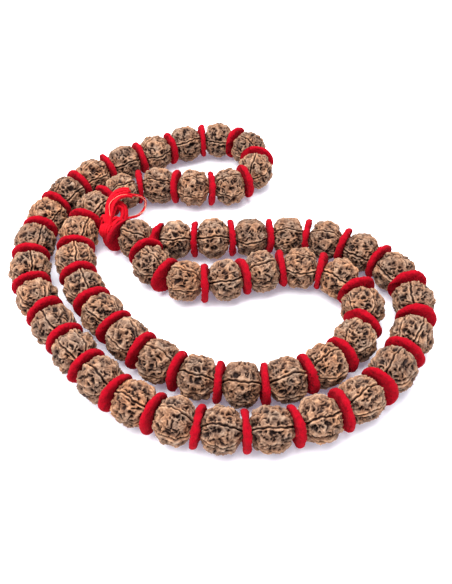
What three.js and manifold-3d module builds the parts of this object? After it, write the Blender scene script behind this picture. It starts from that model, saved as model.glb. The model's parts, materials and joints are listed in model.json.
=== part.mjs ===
// Prayer beads: 54 seed beads and one guru bead on a cord, with a felt washer in every gap
// and a red yarn tassel tied off behind the guru bead. The strand lies on a flat surface as
// a doubled loop: a wide loop in front and a narrow tongue running back at the far left.
// Millimetres, +Z up. The beads rest on z = 0.
import * as THREE from 'three';
import { mergeVertices } from 'three/addons/utils/BufferGeometryUtils.js';
import Module from 'manifold-3d';

const wasm = await Module();
wasm.setup();

// ---- driving sizes ----
const BEAD_COUNT = 54;
const BEAD_RADIUS = 10.75;    // half the girth of a seed bead
const BEAD_HALF = 8.5;        // half its length from hole to hole
const BEAD_SIDES = 10;
const BORE_RADIUS = 1.7;      // drilled hole, a loose fit on the cord
const CORD_RADIUS = 0.9;
const CORD_SIDES = 6;
const WASHER_RADIUS = 10.1;
const WASHER_THICK = 1.8;
const PLAY = 0.25;            // least air between a bead and a washer
const BEAD_PITCH = 20.4;      // washer to washer on a straight stretch
const AXIS_HEIGHT = BEAD_RADIUS * Math.cos(Math.PI / BEAD_SIDES);   // each bead stands on a flat side

// Half of a bead's outline, hole to girth: [radius, distance along the cord].
const BEAD_OUTLINE = [[BORE_RADIUS, BEAD_HALF], [4.2, 8.4], [8.4, 6.1], [BEAD_RADIUS, 2.2]];

// The cord's plan, from the guru bead's right side round to its near side.
const ROUTE = [
  [-32.2, 12], [8, 13.5], [49, 15], [86, -3.5], [98, -22], [96.5, -43],    // far side, right end
  [71.5, -80], [32, -98.5], [-9, -98], [-46, -80], [-72, -51],             // front of the outer run
  [-94.3, -17.5], [-96.3, 22.5], [-79.4, 60.2], [-44.5, 83.6], [-8, 101],    // left side
  [15, 98], [27.5, 78.5], [15, 57], [-7, 53],                              // tip of the tongue
  [-47, 57], [-73.1, 28], [-71.6, -12], [-49, -45], [-20, -69.5],          // back along the inside
  [22, -78], [59, -62], [71.8, -44.5], [72, -23], [56, -9.4],              // right end, inner run
  [35, -7], [-5, -19.3], [-26, -14.3], [-41, 2],                           // home to the guru bead
];

// Play added or taken up beside a bead, by its number; the tightest bends keep what they need.
const LOOSE = {
  9: 2.2, 10: 2.3, 11: 1.9, 12: 1.1, 13: 1.4, 18: -0.4, 19: -0.4, 24: 0.4, 25: 0.7, 26: 0.7, 27: 0.6,
  28: 0.7, 33: 0.7, 34: 1.2, 38: -0.4, 39: -0.4, 40: -0.4, 41: -0.4, 43: -0.3, 44: -0.3, 54: 0.5,
};

// The tongue's tip folds up about a line through these two gaps, so their washers are thin.
const FOLD_GAPS = [27, 33];
const FOLD_WASHER = 1.4;
const FOLD_CORD_START = 1.3;

// Guru bead and tassel
const GURU = [-43.5, 13.2];
const GURU_ANGLE = 160;       // heading of its tassel end, degrees from +X
const WASHER_REACH = BEAD_HALF + 0.6 + WASHER_THICK / 2;
const LAST_WASHER_ANGLE = 118;
const END_TURN = 0.5;         // bend of the cord at the last washer, radians
const KNOT_REACH = 1.2;       // washer centre to the point where the tassel hinges

// ---- materials ----
const seedSkin = () => new THREE.MeshStandardMaterial({ color: 0x94704f, roughness: 0.75, metalness: 0 });
const felt = () => new THREE.MeshStandardMaterial({ color: 0xc8101c, roughness: 0.95, metalness: 0 });
const yarn = () => new THREE.MeshStandardMaterial({ color: 0xe01020, roughness: 0.85, metalness: 0 });

// ---- solids ----
function solidOf(geometry) {
  const bare = geometry.clone();
  bare.deleteAttribute('normal');
  bare.deleteAttribute('uv');
  const merged = mergeVertices(bare, 1e-4);
  return new wasm.Manifold(new wasm.Mesh({
    numProp: 3,
    vertProperties: new Float32Array(merged.attributes.position.array),
    triVerts: new Uint32Array(merged.index.array),
  }));
}

function geometryOf(solid) {
  const mesh = solid.getMesh();
  const geometry = new THREE.BufferGeometry();
  geometry.setAttribute('position', new THREE.BufferAttribute(new Float32Array(mesh.vertProperties), 3));
  geometry.setIndex(new THREE.BufferAttribute(new Uint32Array(mesh.triVerts), 1));
  geometry.computeVertexNormals();
  return geometry;
}

const joined = (geometries) => geometries.map(solidOf).reduce((all, one) => all.add(one));

const turned = (profile, sides) => new THREE.LatheGeometry(
  profile.map(([radius, along]) => new THREE.Vector2(radius, along)), sides, Math.PI / sides);

// Moves a geometry made about the Y axis to a point, with its axis along a heading.
function aimed(geometry, centre, heading) {
  const turn = new THREE.Quaternion().setFromUnitVectors(new THREE.Vector3(0, 1, 0), heading);
  return geometry.clone().applyQuaternion(turn).translate(centre.x, centre.y, centre.z);
}

const heading = (degrees) => new THREE.Vector3(
  Math.cos(THREE.MathUtils.degToRad(degrees)), Math.sin(THREE.MathUtils.degToRad(degrees)), 0);

const at = (x, y, z = AXIS_HEIGHT) => new THREE.Vector3(x, y, z);

function meshOf(name, geometry, material) {
  const mesh = new THREE.Mesh(geometry, material);
  mesh.name = name;
  return mesh;
}

// ---- where everything sits along the cord ----
// Room one side of a washer, centre to bead centre, when the cord turns by `turn` there.
function sideRoom(turn) {
  const half = Math.abs(turn) / 2;
  const reach = Math.max(...BEAD_OUTLINE.map(([radius, along]) => (
    along * Math.cos(half) + radius * Math.sin(half))));
  return (reach + PLAY + WASHER_THICK / 2) / Math.cos(half);
}

function turnsAt(points) {
  return points.map((point, i) => {
    if (i === 0) return 0;
    if (i === points.length - 1) return END_TURN;
    const before = point.clone().sub(points[i - 1]);
    const after = points[i + 1].clone().sub(point);
    return before.angleTo(after);
  });
}

// Spreads the washers along the route: each bead takes the length its two bends need.
function washerPoints() {
  const route = new THREE.CatmullRomCurve3(ROUTE.map(([x, y]) => at(x, y)), false, 'centripetal');
  route.arcLengthDivisions = 3000;
  let fractions = Array.from({ length: BEAD_COUNT + 1 }, (_, i) => i / BEAD_COUNT);
  for (let sweep = 0; sweep < 80; sweep += 1) {
    const points = fractions.map((f) => route.getPointAt(f));
    const turns = turnsAt(points);
    const shares = points.slice(1).map((point, i) => {
      const tight = sideRoom(turns[i]) + sideRoom(turns[i + 1]);
      const spare = LOOSE[i + 1] ?? 0;
      const room = Math.max(tight + Math.max(spare, 0), BEAD_PITCH + spare);
      return room * (fractions[i + 1] - fractions[i]) / point.distanceTo(points[i]);
    });
    const total = shares.reduce((sum, share) => sum + share, 0);
    let run = 0;
    const wanted = [0, ...shares.map((share) => { run += share / total; return run; })];
    fractions = fractions.map((f, i) => Math.min((f + wanted[i]) / 2, 1));
  }
  return fractions.map((f) => route.getPointAt(f));
}

// A bead stands nearer the washer where the cord bends less.
const WASHERS = washerPoints();
const ROOMS = turnsAt(WASHERS).map(sideRoom);
const BEADS = WASHERS.slice(1).map((point, i) => ({
  centre: WASHERS[i].clone().lerp(point, ROOMS[i] / (ROOMS[i] + ROOMS[i + 1])),
  along: point.clone().sub(WASHERS[i]).normalize(),
}));

const guruCentre = at(...GURU);
const guruAlong = heading(GURU_ANGLE);
const tasselWasher = guruCentre.clone().addScaledVector(guruAlong, WASHER_REACH);
const tasselHinge = tasselWasher.clone().addScaledVector(guruAlong, KNOT_REACH);

// ---- beads ----
const nearHalf = BEAD_OUTLINE.map(([radius, along]) => [radius, -along]);
const beadShape = turned([...nearHalf, ...BEAD_OUTLINE.slice().reverse(), nearHalf[0]], BEAD_SIDES);

function placedBead(name, centre, along) {
  const bead = meshOf(name, beadShape.clone(), seedSkin());
  bead.position.copy(centre);
  bead.quaternion.setFromUnitVectors(new THREE.Vector3(0, 1, 0), along);
  return bead;
}

// ---- felt washers and cord ----
function washer(centre, along, thick = WASHER_THICK) {
  return aimed(new THREE.CylinderGeometry(WASHER_RADIUS, WASHER_RADIUS, thick, BEAD_SIDES), centre, along);
}

function cordBetween(from, to) {
  const along = to.clone().sub(from);
  const shape = new THREE.CylinderGeometry(CORD_RADIUS, CORD_RADIUS, along.length(), CORD_SIDES);
  return aimed(shape, from.clone().add(to).multiplyScalar(0.5), along.normalize());
}

// A washer's heading halves the bend between the beads on its two sides.
function washerAlong(i) {
  const before = BEADS[Math.max(i - 1, 0)].along;
  const after = BEADS[Math.min(i, BEAD_COUNT - 1)].along;
  return before.clone().add(after).normalize();
}

const washerThick = (i) => (FOLD_GAPS.includes(i) ? FOLD_WASHER : WASHER_THICK);
const threaded = (i) => washer(WASHERS[i], washerAlong(i), washerThick(i));

// The first and last washers are squeezed together beside the guru bead, so each loses the
// edge that would press into the bead beyond it.
function guruWashers() {
  const first = solidOf(washer(WASHERS[0], BEADS[0].along)).trimByPlane([0, 1, 0], WASHERS[0].y - 6.8);
  const last = solidOf(washer(WASHERS[BEAD_COUNT], heading(LAST_WASHER_ANGLE)));
  const side = WASHERS[0].x + WASHER_THICK / 2;
  return first.add(last.trimByPlane([-1, 0, 0], -side));
}

// Both cord ends meet in front of the guru bead's hole and run through it to the tassel. The
// last one is pressed sideways through its washer to get there.
function guruCord() {
  const last = WASHERS[BEAD_COUNT];
  const mouth = guruCentre.clone().addScaledVector(guruAlong, -BEAD_HALF - 1.6);
  const aside = last.clone().addScaledVector(heading(LAST_WASHER_ANGLE - 90), 7.4);
  return joined([
    cordBetween(WASHERS[0], mouth), cordBetween(last, aside), cordBetween(aside, mouth),
    new THREE.SphereGeometry(1.5, 8, 6).translate(mouth.x, mouth.y, mouth.z),
    cordBetween(mouth, tasselWasher), washer(tasselWasher, guruAlong),
  ]);
}

function mainStrand() {
  const [foldOut, foldBack] = FOLD_GAPS;
  const pieces = [];
  for (let i = 1; i < BEAD_COUNT; i += 1) if (i <= foldOut || i >= foldBack) pieces.push(threaded(i));
  for (let i = 0; i < BEAD_COUNT; i += 1) {
    if (i < foldOut || i >= foldBack) pieces.push(cordBetween(WASHERS[i], WASHERS[i + 1]));
  }
  return joined(pieces).add(guruWashers()).add(guruCord());
}

function tipStrand() {
  const [foldOut, foldBack] = FOLD_GAPS;
  const points = WASHERS.slice(foldOut, foldBack + 1).map((point) => point.clone());
  points[0].addScaledVector(BEADS[foldOut].along, FOLD_CORD_START);
  points[points.length - 1].addScaledVector(BEADS[foldBack - 1].along, -FOLD_CORD_START);
  const cords = points.slice(1).map((point, i) => cordBetween(points[i], point));
  const washers = [];
  for (let i = foldOut + 1; i < foldBack; i += 1) washers.push(threaded(i));
  return joined([...cords, ...washers]);
}

// ---- tassel ----
function bundle(points, wide, thick, steps) {
  const section = new THREE.Shape();
  const corners = 8;
  for (let i = 0; i < corners; i += 1) {
    const angle = 2 * Math.PI * (i + 0.5) / corners;
    section[i ? 'lineTo' : 'moveTo'](thick * Math.cos(angle), wide * Math.sin(angle));
  }
  const path = new THREE.CatmullRomCurve3(points.map(([x, y, z]) => at(x, y, z)), false, 'centripetal');
  return new THREE.ExtrudeGeometry(section, { steps, bevelEnabled: false, extrudePath: path });
}

// A wound ball on a short neck, over a sagging fold of yarn that rests near the floor.
function knotSolid(grow = 0) {
  const ball = turned([
    [0, 0.3 - grow], [0.6 + grow, 0.3 - grow], [0.6 + grow, 2], [2.5 + grow, 2.6 - grow],
    [4.1 + grow, 4.4 - grow], [4.5 + grow, 6.4], [4 + grow, 8.3 + grow], [2.2 + grow, 9.6 + grow],
    [0, 10 + grow],
  ], 10);
  const fold = new THREE.SphereGeometry(1, 10, 8)
    .scale(3.2 + grow, 3.4 + grow, 4.6 + grow).translate(-59.4, 16.8, 5.4);
  return solidOf(aimed(ball, tasselHinge, guruAlong)).add(solidOf(fold));
}

const CURL = [
  [-59.6, 21, 12], [-59.8, 27.2, 17.4], [-59, 32.4, 22], [-55.6, 37, 23.6], [-51.4, 40, 22.2], [-48, 41.8, 19.8],
];
const ROLL = [
  [-59, 21, 9], [-58.4, 28.8, 15], [-56.5, 34.5, 17.4], [-52.6, 34.6, 14.2], [-53, 31, 9.6], [-56, 27.5, 6.4],
];
const FRINGE = [[-59.8, 26.8, 17], [-62, 25.8, 14], [-62.7, 23.8, 9.5]];
const LOOP = [
  [-55.4, 25.8, 12.4], [-52.4, 27.6, 11.6], [-48.6, 31.2, 8.6], [-45, 37, 5.5], [-42.4, 42.4, 5],
  [-41.6, 45.6, 8], [-43.4, 45.4, 12.2], [-46.6, 42.6, 16.8], [-48.6, 41, 19.4],
];

const threadSolid = (grow = 0) => joined([
  bundle(CURL, 3.3 + grow, 1.9 + grow, 14), bundle(ROLL, 2.5 + grow, 1.5 + grow, 16),
  bundle(FRINGE, 1.6 + grow, 1.3 + grow, 5),
]);

// ---- assembly ----
const mala = new THREE.Group();
BEADS.forEach(({ centre, along }, i) => {
  mala.add(placedBead(`bead_${String(i + 1).padStart(2, '0')}`, centre, along));
});
mala.add(placedBead('guru_bead', guruCentre, guruAlong));
mala.add(meshOf('strand_main', geometryOf(mainStrand()), felt()));
mala.add(meshOf('strand_tip', geometryOf(tipStrand()), felt()));
mala.add(meshOf('tassel_knot', geometryOf(knotSolid()), yarn()));
mala.add(meshOf('tassel_threads', geometryOf(threadSolid().subtract(knotSolid(0.3))), yarn()));
mala.add(meshOf('tassel_loop', geometryOf(
  solidOf(bundle(LOOP, 0.8, 0.8, 22)).subtract(knotSolid(0.3)).subtract(threadSolid(0.3))), yarn()));

// The origin is on the floor under the middle of the strand's outline.
const outline = new THREE.Box3().setFromObject(mala);
const middle = outline.getCenter(new THREE.Vector3());
mala.position.set(-middle.x, -middle.y, 0);

export default mala;
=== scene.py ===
"""Mala prayer beads: furrowed seed beads, red felt washers, stringing cord and a yarn tassel,
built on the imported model. Shapes are worked out in millimetres and stored in metres."""
import json
import math

import bpy
import numpy as np
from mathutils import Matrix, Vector

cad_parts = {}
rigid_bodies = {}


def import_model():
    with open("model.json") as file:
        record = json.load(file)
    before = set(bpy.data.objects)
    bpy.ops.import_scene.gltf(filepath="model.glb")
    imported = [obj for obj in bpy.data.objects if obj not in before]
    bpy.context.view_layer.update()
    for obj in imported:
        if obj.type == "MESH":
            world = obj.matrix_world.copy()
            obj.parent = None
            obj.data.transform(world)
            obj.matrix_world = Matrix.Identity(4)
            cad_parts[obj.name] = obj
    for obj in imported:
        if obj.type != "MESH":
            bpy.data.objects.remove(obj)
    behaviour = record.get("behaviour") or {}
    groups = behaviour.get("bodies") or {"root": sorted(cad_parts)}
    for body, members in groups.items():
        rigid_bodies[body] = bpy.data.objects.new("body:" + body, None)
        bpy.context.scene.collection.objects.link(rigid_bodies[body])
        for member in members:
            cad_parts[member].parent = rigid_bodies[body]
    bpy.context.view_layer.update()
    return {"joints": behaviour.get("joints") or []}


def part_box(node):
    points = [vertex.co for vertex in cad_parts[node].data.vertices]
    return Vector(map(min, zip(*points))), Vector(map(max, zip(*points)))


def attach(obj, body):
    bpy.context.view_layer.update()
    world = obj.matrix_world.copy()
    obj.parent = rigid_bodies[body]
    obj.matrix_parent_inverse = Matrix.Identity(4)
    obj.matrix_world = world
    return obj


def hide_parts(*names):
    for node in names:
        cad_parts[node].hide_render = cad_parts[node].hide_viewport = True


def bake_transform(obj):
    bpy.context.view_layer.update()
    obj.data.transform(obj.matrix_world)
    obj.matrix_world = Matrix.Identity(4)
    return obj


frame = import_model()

MM = 0.001
FLOOR_AT = -0.95         # millimetres: the lowest ridges and felt reach below the frame's zero

# ---- camera ----
CAMERA_AT = (5.1, -218.4, 243.8)      # millimetres
CAMERA_TILT = 39.74                   # degrees up from straight down
CAMERA_LENS = 37.54
CAMERA_RANGE = (0.01, 10)             # metres, the nearest and farthest seen


def add_camera():
    data = bpy.data.cameras.new("camera")
    data.lens = CAMERA_LENS
    data.clip_start, data.clip_end = CAMERA_RANGE
    camera = bpy.data.objects.new("camera", data)
    camera.location = Vector(CAMERA_AT) * MM
    camera.rotation_euler = (math.radians(CAMERA_TILT), 0, 0)
    bpy.context.scene.collection.objects.link(camera)
    bpy.context.scene.camera = camera


add_camera()

# ---- places taken from the frame ----
# A seed of ordinary size, in millimetres: its girth's radius, and its reach from the middle to a hole.
BEAD_RADIUS = 10.8
BEAD_HALF = 8.8
JOINTS = {joint["name"]: joint for joint in frame["joints"]}
BEAD_COUNT = sum(name.startswith("turn_bead_") for name in JOINTS)


def unit(vector):
    return vector / np.linalg.norm(vector)


def middle(node):
    low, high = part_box(node)
    return (np.array(low) + np.array(high)) / 2 / MM


class Place:
    """A centre and a level heading through it; for a bead, also its reach behind and ahead, and its
    girth's radius."""

    def __init__(self, centre, along, body=None):
        self.centre = np.array(centre, float)
        self.along = unit(np.array(along, float))
        self.body = body
        self.halves = [BEAD_HALF, BEAD_HALF]
        self.radius = BEAD_RADIUS
        self.up = np.array([0.0, 0.0, 1.0])
        self.side = np.cross(self.up, self.along)

    def to_world(self, local):
        basis = np.array([self.along, self.side, self.up])
        return self.centre + local @ basis

    def to_local(self, world):
        basis = np.array([self.along, self.side, self.up])
        return (world - self.centre) @ basis.T


def bead_place(number):
    joint = JOINTS[f"turn_bead_{number:02d}"]
    return Place(np.array(joint["pos_m"]) / MM, joint["axis"], joint["child"])


BEADS = [bead_place(number) for number in range(1, BEAD_COUNT + 1)]
SWING = JOINTS["tassel_swing"]
FOLD = JOINTS["far_loop_lift"]
STRAND, FAR_LOOP, TASSEL = SWING["parent"], FOLD["child"], SWING["child"]
GURU_ALONG = np.array([-SWING["axis"][1], SWING["axis"][0], 0.0])
GURU = Place(middle("guru_bead"), GURU_ALONG, STRAND)
FAR_BEADS = [i for i in range(BEAD_COUNT) if JOINTS[f"turn_bead_{i + 1:02d}"]["parent"] == FAR_LOOP]

# ---- mesh making ----
WAVE_COUNT = 26          # summed for one random field


def mesh_object(name, points, faces):
    """points in millimetres; faces is an array of quads."""
    mesh = bpy.data.meshes.new(name)
    count = len(faces)
    mesh.vertices.add(len(points))
    mesh.vertices.foreach_set("co", (np.asarray(points) * MM).astype(np.float32).ravel())
    mesh.loops.add(count * 4)
    mesh.loops.foreach_set("vertex_index", faces.astype(np.int32).ravel())
    mesh.polygons.add(count)
    mesh.polygons.foreach_set("loop_start", np.arange(0, count * 4, 4, dtype=np.int32))
    mesh.polygons.foreach_set("use_smooth", np.full(count, True))
    mesh.update(calc_edges=True)
    piece = bpy.data.objects.new(name, mesh)
    bpy.context.scene.collection.objects.link(piece)
    return piece


def wrapped_faces(rows, columns, close_rows=True):
    """Quads of a grid whose columns wrap round, and whose rows wrap too if close_rows."""
    last = rows if close_rows else rows - 1
    row = np.arange(last)[:, None]
    column = np.arange(columns)[None, :]
    below, right = (row + 1) % rows, (column + 1) % columns
    corners = [row * columns + column, row * columns + right, below * columns + right,
               below * columns + column]
    return np.stack([np.broadcast_to(c, (last, columns)) for c in corners], axis=-1).reshape(-1, 4)


def cap_faces(first, around, flip):
    """Quads across an end ring of an even number of points."""
    step = np.arange(around // 2 - 1)
    quads = np.stack([step, step + 1, around - 2 - step, around - 1 - step], axis=1) + first
    return quads[:, ::-1] if flip else quads


def give_attribute(piece, name, values):
    attribute = piece.data.attributes.new(name, "FLOAT", "POINT")
    attribute.data.foreach_set("value", np.asarray(values, dtype=np.float32).ravel())


def waves(points, length, rng):
    """A smooth random field about zero, of spread 1, with features about length millimetres apart."""
    headings = rng.normal(size=(WAVE_COUNT, 3))
    headings /= np.linalg.norm(headings, axis=1)[:, None]
    phases = rng.uniform(0, 2 * math.pi, WAVE_COUNT)
    turns = points @ (headings.T * (2 * math.pi / length)) + phases
    return np.cos(turns).sum(axis=1) * math.sqrt(2 / WAVE_COUNT)


def ramp(value, low, high):
    """0 at low and 1 at high, with a smooth step between."""
    t = np.clip((value - low) / (high - low), 0, 1)
    return t * t * (3 - 2 * t)


# ---- seed beads ----
BEAD_SQUARENESS = 2.5
BORE_RADIUS = 1.6
BEAD_COLUMNS = 208
BEAD_ROWS = 78
BORE_ROWS = 5
BORE_INSET = 0.4         # how far inside the holes' mouths the bore's first ring lies

# ---- each bead's room on the strand ----
RADIUS_MOST = 11.3
RADIUS_SHARES = (0.96, 1.0)
HALF_LEAST, HALF_MOST = 8.3, 10.2
FELT_ROOM = 0.85         # half the thickness of squeezed felt
BEND_ROOM = 8.0          # given up at a bend, for each squared radian of half the bend
BEAD_GAP = 0.04
STRUNG_NEXT = 21.6       # beads closer than this are strung one after the other
MIDWAY_PULL = 0.02       # draws nearly parallel holes' meeting point to half-way
WASHER_DRAW = 0.4        # a washer's share of the way from there to the middle between the beads
GIRTH_SEED = 12


def meeting_point(first, second):
    """Where two neighbouring beads' hole lines meet, or half-way where they are in line."""
    gap = second.centre - first.centre
    half = np.linalg.norm(gap) / 2
    reach = np.stack([first.along, second.along], axis=1)
    firm = MIDWAY_PULL * np.eye(2)
    steps = np.linalg.solve(reach.T @ reach + firm, reach.T @ gap + firm @ [half, half])
    return (first.centre + steps[0] * first.along + second.centre - steps[1] * second.along) / 2


CROSSINGS = [meeting_point(before, after) for before, after in zip(BEADS, BEADS[1:])]
# The taut cord cuts the corners, so a washer hangs a little inside the point where the holes' lines
# meet.
INNER_WASHERS = [(1 - WASHER_DRAW) * crossing + WASHER_DRAW / 2 * (before.centre + after.centre)
                 for crossing, before, after in zip(CROSSINGS, BEADS, BEADS[1:])]


def fit_between_washers():
    """Each bead reaches from one washer to the next, less where the strand bends."""
    for index, centre in enumerate(CROSSINGS):
        before, after = BEADS[index], BEADS[index + 1]
        bend = math.acos(min(before.along @ after.along, 1.0)) / 2
        for bead, side in ((before, 1), (after, 0)):
            reach = np.linalg.norm(centre - bead.centre) - FELT_ROOM - BEND_ROOM * bend ** 2
            bead.halves[side] = min(max(reach, HALF_LEAST), HALF_MOST)


def grow_to_neighbours():
    """A bead is as wide as its room allows, because seeds on one strand differ in size."""
    rng = np.random.default_rng(GIRTH_SEED)
    beads = [*BEADS, GURU]
    for bead in beads:
        apart = [np.linalg.norm(bead.centre - other.centre) for other in beads if other is not bead]
        room = min(gap / 2 - BEAD_GAP for gap in apart if gap > STRUNG_NEXT)
        bead.radius = min(room, RADIUS_MOST * rng.uniform(*RADIUS_SHARES))


fit_between_washers()
grow_to_neighbours()


def envelope(place, local, grow):
    """Below 1 inside the smooth outline that a bead stays within, grown by so many millimetres."""
    half = np.where(local[..., 0] > 0, place.halves[1], place.halves[0]) + grow
    out = np.hypot(local[..., 1], local[..., 2]) / (place.radius + grow)
    return (np.abs(local[..., 0]) / half) ** BEAD_SQUARENESS + out ** BEAD_SQUARENESS


# ---- seed relief ----
# Heights, depths, widths, lengths and reaches are in millimetres.
WARP_LENGTH, WARP_REACH = 4.2, 0.45
LUMP_LENGTH, LUMP_HEIGHT = 5.2, 0.36
WORM_LENGTH, WORM_HEIGHT = 3.6, 0.46
FOLD_LENGTH, FOLD_HEIGHT = 2.3, 0.30
GRAIN_LENGTH, GRAIN_HEIGHT = 1.1, 0.06
RIDGE_SHARPNESS = 0.5
BASE_DEPTH = 0.4
PIT_COUNT = 350
PIT_REACH = (0.34, 0.64)
PIT_STRETCH = (1.0, 2.4)
PIT_DEPTH = (1.0, 1.9)
PIT_STEEPNESS = 1.9
FIVE_LINED_SHARE = 0.75
LINE_WANDER = 0.12       # radians
SLOW_SWAY = (0.05, 0.25, 0.5)         # radians, then least and most radians in a millimetre of length
QUICK_SWAY = (0.018, 1.2, 1.9)
RIB_AT, RIB_WIDTH, RIB_HEIGHT, RIB_SHARE = 0.85, 0.42, 0.34, 0.7
CUT_WIDTH, CUT_DEPTH = 0.33, 1.35
TOP_PERCENTILE = 99.3    # of the heights, which the smooth outline passes through
SHADE_PERCENTILES = [2, 99]
LUMP_SHADE = 0.3
CALM_AT_HOLE, CALM_REACH = 0.35, 3.2  # the relief's share at a hole, and how far out it is full
OUTLINE_SAMPLES = 4000
SEED_BEADS = 700         # bead 0's random seed


def bead_outline():
    """Evenly spaced (along, out) points from hole to hole, and their outward normals."""
    power = 2 / BEAD_SQUARENESS
    turn = np.linspace(0, math.pi, OUTLINE_SAMPLES)
    along = -BEAD_HALF * np.sign(np.cos(turn)) * np.abs(np.cos(turn)) ** power
    out = BEAD_RADIUS * np.sin(turn) ** power
    keep = out >= BORE_RADIUS
    along, out = along[keep], out[keep]
    run = np.concatenate([[0], np.cumsum(np.hypot(np.diff(along), np.diff(out)))])
    even = np.linspace(0, run[-1], BEAD_ROWS)
    along, out = np.interp(even, run, along), np.interp(even, run, out)
    slope_along, slope_out = np.gradient(along), np.gradient(out)
    size = np.hypot(slope_along, slope_out)
    return along, out, -slope_out / size, slope_along / size


def pitted(points, rng):
    """Depth in millimetres of the shell's many small pits, some round and some drawn out."""
    centres = points[rng.choice(len(points), PIT_COUNT, p=AREA_SHARE)]
    reach = rng.uniform(*PIT_REACH, PIT_COUNT)
    stretch = rng.uniform(*PIT_STRETCH, PIT_COUNT)
    depth = rng.uniform(*PIT_DEPTH, PIT_COUNT)
    heading = np.cross(centres, rng.normal(size=(PIT_COUNT, 3)))
    heading /= np.linalg.norm(heading, axis=1)[:, None]
    apart = (points ** 2).sum(axis=1)[:, None] - 2 * points @ centres.T + (centres ** 2).sum(axis=1)
    lengthwise = points @ heading.T - (centres * heading).sum(axis=1)
    apart = apart - (1 - 1 / stretch ** 2) * lengthwise ** 2
    return (depth * np.exp(-(np.maximum(apart, 0) / reach ** 2) ** PIT_STEEPNESS)).max(axis=1)


def sway_of(points, size, slowest, quickest, rng):
    """Radians that a line wanders to either side on its way from hole to hole."""
    return size * np.sin(points[:, 0] * rng.uniform(slowest, quickest) + rng.uniform(0, 6.28))


def meridian_lines(points, turn, out, height, rng):
    """The seed's faces meet in five or six lines from hole to hole, each cut between two ribs."""
    line_count = 5 if rng.random() < FIVE_LINED_SHARE else 6
    start = rng.uniform(0, 2 * math.pi)
    for line in range(line_count):
        sway = sway_of(points, *SLOW_SWAY, rng)
        sway = sway + sway_of(points, *QUICK_SWAY, rng)
        heading = start + 2 * math.pi * line / line_count + rng.uniform(-LINE_WANDER, LINE_WANDER)
        gap = (turn - heading - sway + math.pi) % (2 * math.pi) - math.pi
        gap = np.abs(gap) * out
        rib = np.exp(-((gap - RIB_AT) / RIB_WIDTH) ** 2)
        height = height * (1 - RIB_SHARE * rib) + RIB_HEIGHT * rib
        cut = np.exp(-(gap / CUT_WIDTH) ** 2)
        height = height * (1 - cut) - CUT_DEPTH * cut
    return height


def ridges(points, length, rng):
    """1 along the winding lines where a smooth random field is zero, and 0 away from them."""
    return np.exp(-(waves(points, length, rng) / RIDGE_SHARPNESS) ** 2)


def furrow_relief(points, turn, out, rng):
    """Height of the shell's folds and pits in millimetres, and of the broad lumps under them."""
    warp = np.stack([waves(points, WARP_LENGTH, rng) for _ in range(3)], axis=1)
    bent = points + WARP_REACH * warp
    lumps = LUMP_HEIGHT * waves(points, LUMP_LENGTH, rng)
    height = WORM_HEIGHT * ridges(bent, WORM_LENGTH, rng) + FOLD_HEIGHT * ridges(bent, FOLD_LENGTH, rng)
    height = height + GRAIN_HEIGHT * waves(points, GRAIN_LENGTH, rng) - BASE_DEPTH
    height = height - pitted(bent, rng)
    return meridian_lines(points, turn, out, height, rng), lumps


def grid_of_outline():
    """A plain bead's points, normals and bore, and each point's turn about the hole and distance out."""
    along, out, normal_along, normal_out = bead_outline()
    turn = np.linspace(0, 2 * math.pi, BEAD_COLUMNS, endpoint=False)
    cosine, sine, ones = np.cos(turn), np.sin(turn), np.ones(BEAD_COLUMNS)
    surface = np.stack([np.outer(along, ones), np.outer(out, cosine), np.outer(out, sine)], axis=-1)
    normal = np.stack([np.outer(normal_along, ones), np.outer(normal_out, cosine),
                       np.outer(normal_out, sine)], axis=-1)
    bore = np.linspace(along[-1] - BORE_INSET, along[0] + BORE_INSET, BORE_ROWS)
    circle = BORE_RADIUS * np.ones(BORE_ROWS)
    bore = np.stack([np.outer(bore, ones), np.outer(circle, cosine), np.outer(circle, sine)], axis=-1)
    return surface, normal, bore, np.tile(turn, BEAD_ROWS), np.repeat(out, BEAD_COLUMNS)


SURFACE, NORMAL, BORE, GRID_TURN, GRID_OUT = grid_of_outline()
AREA_SHARE = GRID_OUT / GRID_OUT.sum()
BEAD_FACES = wrapped_faces(BEAD_ROWS + BORE_ROWS, BEAD_COLUMNS)[:, ::-1]


def seed_shell(rng):
    """Local points of one bead with its bore, and each point's height from 0, pit, to 1, ridge, which the
    seed material paints as shade in the pits and as highlight on the ridges.
    """
    folds, lumps = furrow_relief(SURFACE.reshape(-1, 3), GRID_TURN, GRID_OUT, rng)
    height = (folds + lumps).reshape(BEAD_ROWS, BEAD_COLUMNS)
    from_hole = ramp(GRID_OUT.reshape(height.shape), BORE_RADIUS, BORE_RADIUS + CALM_REACH)
    depth = np.maximum(np.percentile(height, TOP_PERCENTILE) - height, 0)
    depth = depth * (CALM_AT_HOLE + (1 - CALM_AT_HOLE) * from_hole)
    points = np.concatenate([SURFACE - NORMAL * depth[..., None], BORE])
    low, top = np.percentile(folds, SHADE_PERCENTILES)
    shade = ((folds + LUMP_SHADE * lumps - low) / (top - low)).reshape(height.shape)
    relief = np.concatenate([shade, np.zeros((BORE_ROWS, BEAD_COLUMNS))])
    return points.reshape(-1, 3), np.clip(relief, 0, 1).ravel()


def add_bead(number, place, cad_node, material):
    rng = np.random.default_rng(SEED_BEADS + number)
    local, relief = seed_shell(rng)
    girth = np.full(len(local), place.radius / BEAD_RADIUS)
    half = np.where(local[:, 0] > 0, place.halves[1], place.halves[0])
    local = local * np.stack([half / BEAD_HALF, girth, girth], axis=1)
    piece = mesh_object(f"seed_{number:02d}", place.to_world(local), BEAD_FACES)
    # relief carries the value that the seed material paints as pit shade and ridge highlight.
    give_attribute(piece, "relief", relief)
    give_attribute(piece, "tone", np.full(len(relief), rng.uniform(0, 1)))
    piece.data.materials.append(material)
    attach(piece, place.body)
    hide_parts(cad_node)


# ---- materials ----


def new_material(name):
    material = bpy.data.materials.new(name)
    material.use_nodes = True
    tree = material.node_tree
    return material, tree, tree.nodes["Principled BSDF"]


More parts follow.
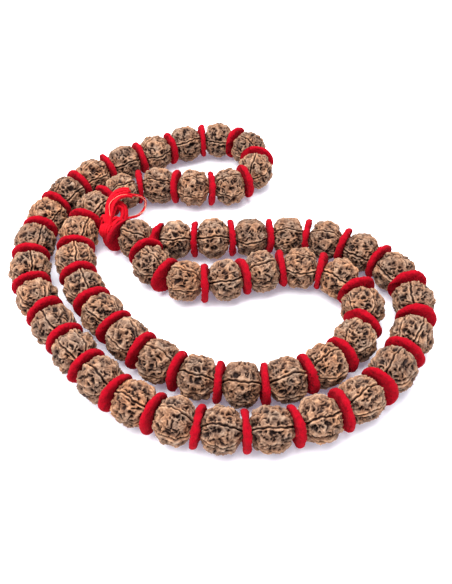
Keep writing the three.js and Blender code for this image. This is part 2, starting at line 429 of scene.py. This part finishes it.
def node(tree, kind, **settings):
    made = tree.nodes.new(kind)
    for key, value in settings.items():
        if key in made.inputs:
            made.inputs[key].default_value = value
        else:
            setattr(made, key, value)
    return made


def color_ramp(tree, stops):
    made = tree.nodes.new("ShaderNodeValToRGB")
    elements = made.color_ramp.elements
    while len(elements) < len(stops):
        elements.new(0.5)
    for element, (place, color) in zip(elements, stops):
        element.position = place
        element.color = (*color, 1)
    return made


def mixed(tree, blend, factor, first, second):
    made = tree.nodes.new("ShaderNodeMix")
    made.data_type = "RGBA"
    made.blend_type = blend
    for socket, value in ((made.inputs[0], factor), (made.inputs[6], first), (made.inputs[7], second)):
        if isinstance(value, bpy.types.NodeSocket):
            tree.links.new(value, socket)
        else:
            socket.default_value = value
    return made.outputs[2]


def noise(tree, scale, detail, roughness=0.6, distortion=0.0):
    place = tree.nodes.new("ShaderNodeTexCoord")
    made = node(tree, "ShaderNodeTexNoise", Scale=scale, Detail=detail, Roughness=roughness,
                Distortion=distortion)
    tree.links.new(place.outputs["Object"], made.inputs["Vector"])
    return made.outputs["Fac"]


def bump(tree, shader, height, strength, distance):
    made = node(tree, "ShaderNodeBump", Strength=strength, Distance=distance)
    tree.links.new(height, made.inputs["Height"])
    tree.links.new(made.outputs["Normal"], shader.inputs["Normal"])


def seed_material():
    material, tree, shader = new_material("seed_shell")
    relief = node(tree, "ShaderNodeAttribute", attribute_name="relief").outputs["Fac"]
    tone = node(tree, "ShaderNodeAttribute", attribute_name="tone").outputs["Fac"]
    # The seed's own brown, with painted shade: near black in the pits and low lumps; and painted
    # highlight: light tan on the ridge tops.
    brown_painted_shade_highlight = color_ramp(tree, [
        (0.00, (0.008, 0.002, 0.001)), (0.38, (0.022, 0.009, 0.006)), (0.56, (0.104, 0.057, 0.037)),
        (0.73, (0.218, 0.130, 0.084)), (1.00, (0.445, 0.29, 0.19))])
    tree.links.new(relief, brown_painted_shade_highlight.inputs["Fac"])
    warm = color_ramp(tree, [(0.35, (0.86, 0.92, 1.0)), (0.65, (1.18, 0.95, 0.78))])
    tree.links.new(noise(tree, scale=170, detail=3), warm.inputs["Fac"])
    patchy = mixed(tree, "MULTIPLY", 0.85, brown_painted_shade_highlight.outputs["Color"], warm.outputs["Color"])
    per_bead = color_ramp(tree, [
        (0.0, (0.82, 0.80, 0.80)), (0.5, (1.0, 1.0, 1.0)), (1.0, (1.12, 1.0, 0.9))])
    tree.links.new(tone, per_bead.inputs["Fac"])
    varied = mixed(tree, "MULTIPLY", 1.0, patchy, per_bead.outputs["Color"])
    speck = color_ramp(tree, [(0.38, (0.55, 0.5, 0.48)), (0.55, (1, 1, 1))])
    tree.links.new(noise(tree, scale=1500, detail=4, roughness=0.7), speck.inputs["Fac"])
    final = mixed(tree, "MULTIPLY", 0.6, varied, speck.outputs["Color"])
    tree.links.new(final, shader.inputs["Base Color"])
    shader.inputs["Roughness"].default_value = 0.6
    shader.inputs["Specular IOR Level"].default_value = 0.15
    bump(tree, shader, noise(tree, scale=1900, detail=5, roughness=0.7), strength=0.35, distance=0.3 * MM)
    return material


def felt_material():
    material, tree, shader = new_material("felt")
    cloud = color_ramp(tree, [(0.3, (0.20, 0.001, 0.006)), (0.7, (0.43, 0.002, 0.012))])
    tree.links.new(noise(tree, scale=600, detail=6, roughness=0.8, distortion=0.6), cloud.inputs["Fac"])
    tree.links.new(cloud.outputs["Color"], shader.inputs["Base Color"])
    shader.inputs["Roughness"].default_value = 0.95
    shader.inputs["Specular IOR Level"].default_value = 0.05
    shader.inputs["Sheen Weight"].default_value = 0.12
    shader.inputs["Sheen Roughness"].default_value = 0.5
    shader.inputs["Sheen Tint"].default_value = (1.0, 0.12, 0.14, 1)
    fuzz = noise(tree, scale=1100, detail=6, roughness=0.8, distortion=0.8)
    bump(tree, shader, fuzz, strength=0.9, distance=0.6 * MM)
    return material


def yarn_material():
    material, tree, shader = new_material("yarn")
    cloud = color_ramp(tree, [(0.3, (0.36, 0.001, 0.007)), (0.7, (0.62, 0.002, 0.013))])
    tree.links.new(noise(tree, scale=1200, detail=5, roughness=0.7), cloud.inputs["Fac"])
    tree.links.new(cloud.outputs["Color"], shader.inputs["Base Color"])
    shader.inputs["Roughness"].default_value = 0.8
    shader.inputs["Specular IOR Level"].default_value = 0.1
    shader.inputs["Sheen Weight"].default_value = 0.12
    shader.inputs["Sheen Tint"].default_value = (1.0, 0.15, 0.15, 1)
    bump(tree, shader, noise(tree, scale=2600, detail=5, roughness=0.8), strength=0.5, distance=0.2 * MM)
    return material


def glint_fibre_material():
    material, _, shader = new_material("painted_glint_fibre")
    # The pale colour is a painted glint: it stands in for light glancing off the yarn.
    shader.inputs["Base Color"].default_value = (0.72, 0.42, 0.28, 1)
    shader.inputs["Roughness"].default_value = 0.6
    return material


SEED, FELT, YARN, GLINT_FIBRE = seed_material(), felt_material(), yarn_material(), glint_fibre_material()

# ---- beads ----
for index, bead in enumerate(BEADS):
    add_bead(index + 1, bead, f"bead_{index + 1:02d}", SEED)
add_bead(0, GURU, "guru_bead", SEED)

# ---- felt washers ----
WASHER_RADIUS = 9.7
WASHER_HALF = 1.5
WASHER_HOLE = 1.0
WASHER_COLUMNS = 96      # points round a washer
SECTION_STEPS = 9        # points on each flat of the cut face, and round its rim
RIM_WAVES = ((2, 0.20), (3, 0.10), (7, 0.08))         # waves in a turn, and millimetres outward
RIM_GROWTH = (-0.2, 0.25)                             # of a washer's radius, least and most
DISH_WAVES = ((1, 0.45), (2, 0.50))                   # waves in a turn, and millimetres ahead
SOFT_LENGTH, SOFT_SHARE = 5, 0.10                     # the felt's uneven thickness
FUZZ_LENGTH, FUZZ_HEIGHT = 1.3, 0.16
REACH_MOST, REACH_LEAST, REACH_STEPS = 2.4, 0.25, 24  # how far a face may lie from the middle plane
BACK_OFF = 0.06          # how much nearer than the first touching step a face stays
FELT_LEAST = 0.2
SKIN_GAP = 0.05          # between felt and a bead's outline, or the floor
DEEPEST = 0.05           # the least envelope value that a point is pushed out from
NEAR_WASHER = 24.0       # beads whose centres lie within this are kept clear of
SEED_WASHERS = 300       # washer 0's random seed
END_ROOM = 9.9
TASSEL_WASHER_ROOM = 10.0
# Where the strand bends sharply a washer lies flatter against one bead: -1 the one behind, 1 the one
# ahead, by the washer's number.
LEANING = {7: 0.7, 29: 0.5, 30: 0.9, 31: 0.8, 34: -0.5, 46: -0.4, 47: -1.0, 48: -0.4, 53: 0.4}


def washer_section():
    """(out, across) points round a washer's cut face: out along one flat, round the rim and back."""
    round_at = WASHER_RADIUS - WASHER_HALF
    flat = np.linspace(WASHER_HOLE, round_at, SECTION_STEPS)
    rim = np.linspace(math.pi / 2, -math.pi / 2, SECTION_STEPS)[1:-1]
    top = np.stack([flat, np.full(SECTION_STEPS, WASHER_HALF)], axis=1)
    edge = np.stack([round_at + WASHER_HALF * np.cos(rim), WASHER_HALF * np.sin(rim)], axis=1)
    return np.concatenate([top, edge, top[::-1] * [1, -1]])


WASHER_SECTION = washer_section()
WASHER_FACES = wrapped_faces(len(WASHER_SECTION), WASHER_COLUMNS)


def free_reach(start, heading, beads):
    """How far from each start point along heading the beads' outlines stay clear."""
    reach = np.full(len(start), REACH_MOST)
    for step in np.linspace(REACH_MOST, REACH_LEAST, REACH_STEPS):
        spot = start + heading * step
        for bead in beads:
            hit = envelope(bead, bead.to_local(spot), SKIN_GAP) < 1
            reach[hit] = np.minimum(reach[hit], step - BACK_OFF)
    return np.maximum(reach, FELT_LEAST)


def pushed_out(points, beads):
    """Points inside a bead's outline are moved out to it."""
    for bead in beads:
        local = bead.to_local(points)
        inside = envelope(bead, local, SKIN_GAP)
        grow = np.where(inside < 1, np.maximum(inside, DEEPEST) ** (-1 / BEAD_SQUARENESS), 1.0)
        points = bead.to_world(local * grow[:, None])
    return points


def ripple(turn, in_turn, rng, start=0.0):
    """A sum of waves round a washer, each with its count in a turn and height, from a random angle."""
    return sum((height * np.cos(count * turn + rng.uniform(0, 6)) for count, height in in_turn), start)


def washer_points(number, centre, along, beads, cup):
    """Points of a wavy disc of felt, squeezed thin where the given beads leave it little room."""
    rng = np.random.default_rng(SEED_WASHERS + number)
    place = Place(centre, along)
    turn = np.linspace(0, 2 * math.pi, WASHER_COLUMNS, endpoint=False)
    out = np.repeat(WASHER_SECTION[:, :1], WASHER_COLUMNS, axis=1)
    across = np.repeat(WASHER_SECTION[:, 1:], WASHER_COLUMNS, axis=1)
    rough = ripple(turn, RIM_WAVES, rng)
    share = (out - WASHER_HOLE) / (WASHER_RADIUS - WASHER_HOLE)
    out = out + share * (rough + rng.uniform(*RIM_GROWTH))
    dish = ripple(turn, DISH_WAVES, rng, start=cup)
    flat = np.stack([np.zeros_like(out), out * np.cos(turn), out * np.sin(turn)], axis=-1).reshape(-1, 3)
    base = place.to_world(flat)
    bend = (share ** 2 * dish).ravel()
    thick = across.ravel() * (1 + SOFT_SHARE * waves(base, SOFT_LENGTH, rng))
    thick = thick + FUZZ_HEIGHT * waves(base, FUZZ_LENGTH, rng)
    ahead = free_reach(base, place.along, beads)
    behind = free_reach(base, -place.along, beads)
    offset = np.clip(bend + thick, -behind, ahead)
    points = base + offset[:, None] * place.along
    near = [bead for bead in (*BEADS, GURU) if np.linalg.norm(bead.centre - centre) < NEAR_WASHER]
    return pushed_out(points, near)


def add_washer(number, centre, along, beads, cup=0.0):
    """cup bends the rim ahead, or behind where it is below zero, in millimetres."""
    points = washer_points(number, centre, along, beads, cup)
    points[:, 2] = np.maximum(points[:, 2], FLOOR_AT + SKIN_GAP)
    piece = mesh_object(f"washer_{number:02d}", points, WASHER_FACES)
    piece.data.materials.append(FELT)
    return piece


def strung_washers():
    """A washer between every two beads; the two beside the far loop are baked where they lie and fixed to
    no body.
    """
    for index, centre in enumerate(INNER_WASHERS):
        before, after = BEADS[index], BEADS[index + 1]
        lean = LEANING.get(index + 1, 0)
        along = unit((1 - lean) * before.along + (1 + lean) * after.along)
        piece = add_washer(index + 1, centre, along, [before, after])
        in_far_loop = [index in FAR_BEADS, index + 1 in FAR_BEADS]
        if all(in_far_loop):
            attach(piece, FAR_LOOP)
        elif any(in_far_loop):
            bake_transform(piece)
        else:
            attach(piece, STRAND)


strung_washers()


def level(degrees):
    """A unit heading in the plane of the floor."""
    return np.array([math.cos(math.radians(degrees)), math.sin(math.radians(degrees)), 0.0])


# The guru bead's washers are pinched askew, so their headings are given as angles on the floor.
FIRST_ALONG, LAST_ALONG, TASSEL_ALONG = level(-22), level(110), level(140)
FIRST_WASHER = BEADS[0].centre - BEADS[0].along * END_ROOM
LAST_WASHER = BEADS[-1].centre + LAST_ALONG * END_ROOM
TASSEL_WASHER = GURU.centre + GURU.along * TASSEL_WASHER_ROOM


def guru_washers():
    """Both ends' washers are squeezed against the guru bead, and the tassel's cups round it."""
    pieces = [add_washer(0, FIRST_WASHER, FIRST_ALONG, [GURU, BEADS[0]]),
              add_washer(54, LAST_WASHER, LAST_ALONG, [BEADS[-1], GURU], cup=-1.5),
              add_washer(55, TASSEL_WASHER, TASSEL_ALONG, [GURU], cup=-1.2)]
    for piece in pieces:
        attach(piece, STRAND)


guru_washers()

# ---- yarn and cord ----
CORD_RADIUS, CORD_STEP, CORD_LAY = 0.72, 0.8, 2.5
YARN_RADIUS, YARN_STEP, YARN_LAY = 0.72, 0.5, 2.6
STRAY_RADIUS, STRAY_STEP, STRAY_LAY = 0.08, 0.6, 4.0
PLIES = 3
PLY_RELIEF = 0.14
YARN_COLUMNS, STRAY_COLUMNS = 12, 6
CURVE_SAMPLES = 30


def smooth_path(points, step):
    """Evenly spaced points on a curve through the given ones."""
    points = np.array(points, float)
    ends = np.concatenate([[2 * points[0] - points[1]], points, [2 * points[-1] - points[-2]]])
    dense = []
    for a, b, c, d in zip(ends, ends[1:], ends[2:], ends[3:]):
        t = np.linspace(0, 1, CURVE_SAMPLES, endpoint=False)[:, None]
        dense.append(0.5 * (2 * b + (c - a) * t + (2 * a - 5 * b + 4 * c - d) * t ** 2
                            + (3 * b - a - 3 * c + d) * t ** 3))
    dense = np.concatenate([*dense, points[-1:]])
    run = np.concatenate([[0], np.cumsum(np.linalg.norm(np.diff(dense, axis=0), axis=1))])
    even = np.linspace(0, run[-1], max(int(run[-1] / step), 4) + 1)
    return np.stack([np.interp(even, run, dense[:, axis]) for axis in range(3)], axis=1)


def sides_along(path):
    """Two unit sides for each point of a path, at right angles to it, that don't spin about it."""
    tangent = np.gradient(path, axis=0)
    tangent /= np.linalg.norm(tangent, axis=1)[:, None]
    side = np.cross(tangent[0], [0.0, 0.0, 1.0])
    side = unit(side if np.linalg.norm(side) > 0.1 else np.cross(tangent[0], [0.0, 1.0, 0.0]))
    sides = []
    for heading in tangent:
        side = unit(side - heading * (side @ heading))
        sides.append(side)
    sides = np.array(sides)
    return sides, np.cross(tangent, sides)


def yarn_tube(name, path, radius, lay, body, material=YARN, around=YARN_COLUMNS):
    """A twisted yarn along an evenly spaced path, closed at both ends. In the length lay each ply
    takes the next one's place."""
    side, other = sides_along(path)
    run = np.concatenate([[0], np.cumsum(np.linalg.norm(np.diff(path, axis=0), axis=1))])
    turn = np.linspace(0, 2 * math.pi, around, endpoint=False)[None, :]
    lobes = 1 + PLY_RELIEF * np.cos(PLIES * (turn - 2 * math.pi * run[:, None] / (lay * PLIES)))
    size = (radius * lobes)[..., None]
    rings = path[:, None] + size * (np.cos(turn)[..., None] * side[:, None]
                                    + np.sin(turn)[..., None] * other[:, None])
    last = (len(path) - 1) * around
    faces = np.concatenate([wrapped_faces(len(path), around, close_rows=False)[:, ::-1],
                            cap_faces(0, around, False), cap_faces(last, around, True)])
    piece = mesh_object(name, rings.reshape(-1, 3), faces)
    piece.data.materials.append(material)
    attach(piece, body)
    return piece


def add_cords():
    """The stringing cord through the beads, in the three lengths that the far loop's fold makes."""
    far = [INNER_WASHERS[i] for i in range(FAR_BEADS[0] - 1, FAR_BEADS[-1] + 1)]
    mouth = GURU.centre - GURU.along * TASSEL_WASHER_ROOM
    out = [mouth, FIRST_WASHER, *INNER_WASHERS[:FAR_BEADS[0]]]
    back = [*INNER_WASHERS[FAR_BEADS[-1]:], LAST_WASHER, mouth, TASSEL_WASHER]
    parts = [("cord_out", out, STRAND), ("cord_far", far, FAR_LOOP), ("cord_back", back, STRAND)]
    made = [yarn_tube(name, smooth_path(points, CORD_STEP), CORD_RADIUS, CORD_LAY, body)
            for name, points, body in parts]
    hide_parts("strand_main")
    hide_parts("strand_tip")


add_cords()

# ---- tassel ----
# The bundles' middle lines, in millimetres from a point that has the guru bead's centre here.
GURU_IN_PLAN = (-43.5, 13.2)
CURL = [(-58.8, 19.6, 11.4), (-58.6, 25.2, 16), (-57.8, 30.2, 20), (-54.8, 34.8, 21.6),
        (-50.8, 38.2, 20.6), (-47.6, 40.2, 18.4)]
ROLL = [(-58.6, 20.4, 9), (-58.2, 27.4, 14.6), (-56.2, 33, 16.6), (-52, 33.2, 14), (-51.8, 28.8, 10.4),
        (-54.6, 24.6, 9), (-57.6, 21, 9.4)]
TUFT = [(-58.8, 19.6, 10.8), (-56.8, 22.6, 12.8), (-54.4, 25.6, 13.2), (-52.2, 28, 11.8)]
LOOP = [(-58.4, 20.2, 11), (-55.4, 24.8, 12.6), (-52.4, 27.6, 11.6), (-48.6, 31.2, 8.6), (-45, 37, 5.5),
        (-42.4, 42.4, 5), (-41.6, 45.6, 8), (-43.4, 44.6, 12.2), (-46.2, 41.8, 16), (-48.4, 39.8, 18.4)]
FRINGE = [(-59.2, 20.5, 11.5), (-60.6, 24.8, 15), (-62.4, 25.6, 12.4), (-63.2, 22.8, 7.5)]
FOLD_AT = (-60.2, 16.1)
FOLD_COUNT = 7
FOLD_SPREAD = 1.2
FOLD_HALF = 1.7          # half a bight's width
FOLD_LOW = (0.8, 2.2)    # how high above the strand's plane the bights' bottoms hang
FOLD_LINE = ((-0.6, 9), (-1, 5))      # half widths from its middle, and height, down one side
DECLARED_LENGTH = 30     # the length that declared_yarn measures a yarn's run against
NECK_SHARE = 0.45        # a bundle's width at the knot, as a share of its full width
BUNDLE_TURN = 2.4        # radians from each yarn to the next, which fills a round evenly
BUNDLE_TWIST = 0.8       # radians from end to end
TURN_WANDER = 0.3        # radians
BUNDLE_SWAY = 0.25
SWAY_RATE = (5, 9)       # radians from end to end
TUBE_STEPS = 4           # every fourth point of a bundle's line shapes a yarn
STRAY_SPREAD = 0.9
STRAY_SHIFT = [0.6, -0.9, 0.9]
# The wound ball: from and to so far beyond the swing's hinge, and its greatest radius.
KNOT_START, KNOT_END, KNOT_RADIUS = 2.9, 9.8, 3.6
KNOT_TURNS, KNOT_STEPS = 6, 120
KNOT_CLOSING = 0.82      # 1 would close the winding to a point at both ends
CORE_START, CORE_LENGTH = KNOT_START - 1.2, KNOT_END - KNOT_START + 1
CORE_RINGS, CORE_COLUMNS = 14, 24
CORE_DEPTH = 0.2         # below the winding's middle line
KNOT_PLACE = Place(np.array(SWING["pos_m"]) / MM, GURU.along)
SEED_TASSEL = 55


def in_frame(points):
    """Points of the tassel's drawing, moved to where the frame has the guru bead."""
    shift = GURU.centre - [*GURU_IN_PLAN, GURU.centre[2]]
    return np.array(points, float) + shift


def declared_yarn(path):
    """Measures a yarn's run against DECLARED_LENGTH, and does nothing more with it."""
    run = np.linalg.norm(np.diff(path, axis=0), axis=1).sum()
    if run < DECLARED_LENGTH:
        return


def yarn_bundle(name, points, rng, count=1, wide=0.0, thick=0.0, spare=0.0, spread_by=0.35):
    """count yarns side by side along one middle line, gathered where they leave the knot. Each may end
    early, by up to the share spare of the line, and they are fully spread by the share spread_by."""
    middle_line = smooth_path(in_frame(points), YARN_STEP)
    side, other = sides_along(middle_line)
    run = np.linspace(0, 1, len(middle_line))
    made = []
    for number in range(count):
        turn = number * BUNDLE_TURN + rng.uniform(-TURN_WANDER, TURN_WANDER) + BUNDLE_TWIST * run
        out = math.sqrt((number + 0.5) / count)
        out = out * (NECK_SHARE + (1 - NECK_SHARE) * ramp(run, 0.0, spread_by))
        sway = BUNDLE_SWAY * np.sin(run * rng.uniform(*SWAY_RATE) + rng.uniform(0, 6))
        across = wide * out * np.cos(turn) + sway
        through = thick * out * np.sin(turn) + sway * 0.5
        path = middle_line + across[:, None] * side + through[:, None] * other
        last = len(path) - int(rng.uniform(0, spare) * len(path))
        path = smooth_path(path[:last:TUBE_STEPS], YARN_STEP)
        piece = yarn_tube(f"{name}_{number + 1:02d}", path, YARN_RADIUS, YARN_LAY, TASSEL)
        declared_yarn(path)
        made.append(piece)
    return made


def knot_points():
    """A winding over the ball of the knot, from its neck to its far end."""
    share = np.linspace(0, 1, KNOT_STEPS)
    along = KNOT_START + (KNOT_END - KNOT_START) * share
    out = KNOT_RADIUS * np.sqrt(1 - KNOT_CLOSING * (2 * share - 1) ** 2)
    turn = 2 * math.pi * KNOT_TURNS * share
    return KNOT_PLACE.to_world(np.stack([along, out * np.cos(turn), out * np.sin(turn)], axis=1))


def knot_core():
    """A smooth ball that closes the knot under its winding."""
    share = np.linspace(0.02, 0.98, CORE_RINGS)
    along = CORE_START + CORE_LENGTH * share
    out = (KNOT_RADIUS - CORE_DEPTH) * np.sqrt(1 - (2 * share - 1) ** 2)
    turn = np.linspace(0, 2 * math.pi, CORE_COLUMNS, endpoint=False)
    points = np.stack([np.repeat(along, CORE_COLUMNS), np.outer(out, np.cos(turn)).ravel(),
                       np.outer(out, np.sin(turn)).ravel()], axis=1)
    faces = np.concatenate([wrapped_faces(CORE_RINGS, CORE_COLUMNS, close_rows=False)[:, ::-1],
                            cap_faces(0, CORE_COLUMNS, False),
                            cap_faces((CORE_RINGS - 1) * CORE_COLUMNS, CORE_COLUMNS, True)])
    piece = mesh_object("knot_core", KNOT_PLACE.to_world(points), faces)
    piece.data.materials.append(YARN)
    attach(piece, TASSEL)


def sagging_fold(rng):
    """Short bights of yarn that hang from the knot to just above the floor."""
    for number in range(FOLD_COUNT):
        x, y = in_frame([(*FOLD_AT, 0)])[0][:2] + rng.uniform(-FOLD_SPREAD, FOLD_SPREAD, 2)
        turn = rng.uniform(0, math.pi)
        half = FOLD_HALF * np.array([math.cos(turn), math.sin(turn)])
        low = rng.uniform(*FOLD_LOW)
        down = [*FOLD_LINE, (-0.6, low + 1), (0, low)]
        up = [(-share, height) for share, height in down[-2::-1]]
        points = [(x + share * half[0], y + share * half[1], height) for share, height in down + up]
        yarn_tube(f"fold_{number + 1}", smooth_path(points, YARN_STEP), YARN_RADIUS, YARN_LAY, TASSEL)


def stray_fibres(rng):
    """Fine pale fibres that stand off the tassel's loop, its roll and the curl's inner edge; their pale
    colour is a painted glint of light on the yarn.
    """
    for number, line in enumerate([LOOP[3:7], LOOP[5:9], CURL[1:5], ROLL[1:4], LOOP[4:8]]):
        points = in_frame(line) + rng.uniform(-STRAY_SPREAD, STRAY_SPREAD, (len(line), 3)) + STRAY_SHIFT
        yarn_tube(f"stray_{number + 1}", smooth_path(points, STRAY_STEP), STRAY_RADIUS, STRAY_LAY, TASSEL,
                  material=GLINT_FIBRE, around=STRAY_COLUMNS)


def add_tassel():
    rng = np.random.default_rng(SEED_TASSEL)
    curl = yarn_bundle("curl", CURL, rng, count=12, wide=3.2, thick=1.4, spare=0.12, spread_by=1.0)
    yarn_bundle("roll", ROLL, rng, count=11, wide=2.6, thick=1.1)
    loop = yarn_bundle("loop", LOOP, rng)
    yarn_bundle("tuft", TUFT, rng, count=8, wide=1.9, thick=0.9, spare=0.3)
    yarn_bundle("fringe", FRINGE, rng, count=8, wide=2.1, thick=1.2, spare=0.3)
    stray_fibres(rng)
    around_knot = smooth_path(knot_points(), YARN_STEP)
    winding = yarn_tube("knot_winding", around_knot, YARN_RADIUS, YARN_LAY, TASSEL)
    knot_core()
    sagging_fold(rng)
    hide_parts("tassel_threads")
    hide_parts("tassel_loop")
    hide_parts("tassel_knot")


add_tassel()

# ---- light and floor ----


def add_floor():
    bpy.ops.mesh.primitive_plane_add(size=6, location=(0, 0, FLOOR_AT * MM))
    floor = bpy.context.object
    floor.name = "floor"
    material, tree, shader = new_material("floor")
    shader.inputs["Base Color"].default_value = (0.92, 0.93, 0.95, 1)
    shader.inputs["Roughness"].default_value = 0.9
    shader.inputs["Emission Color"].default_value = (0.8, 0.7, 1.0, 1)
    shader.inputs["Emission Strength"].default_value = 0.17
    floor.data.materials.append(material)


def add_light(name, at, size, power):
    """A round lamp that faces the middle of the strand; metres and watts."""
    data = bpy.data.lights.new(name, "AREA")
    data.shape = "DISK"
    data.size = size
    data.energy = power
    light = bpy.data.objects.new(name, data)
    light.location = at
    light.rotation_euler = (-Vector(at)).to_track_quat("-Z", "Y").to_euler()
    bpy.context.scene.collection.objects.link(light)


def add_sky():
    world = bpy.data.worlds.new("studio")
    world.use_nodes = True
    world.node_tree.nodes["Background"].inputs["Color"].default_value = (0.93, 0.95, 1, 1)
    world.node_tree.nodes["Background"].inputs["Strength"].default_value = 1.0
    bpy.context.scene.world = world


add_floor()
add_sky()
add_light("softbox", at=(-0.1, 0.12, 0.9), size=0.9, power=17)
add_light("key", at=(-0.35, -0.3, 0.8), size=0.3, power=3)
bpy.context.scene.view_settings.view_transform = "Standard"
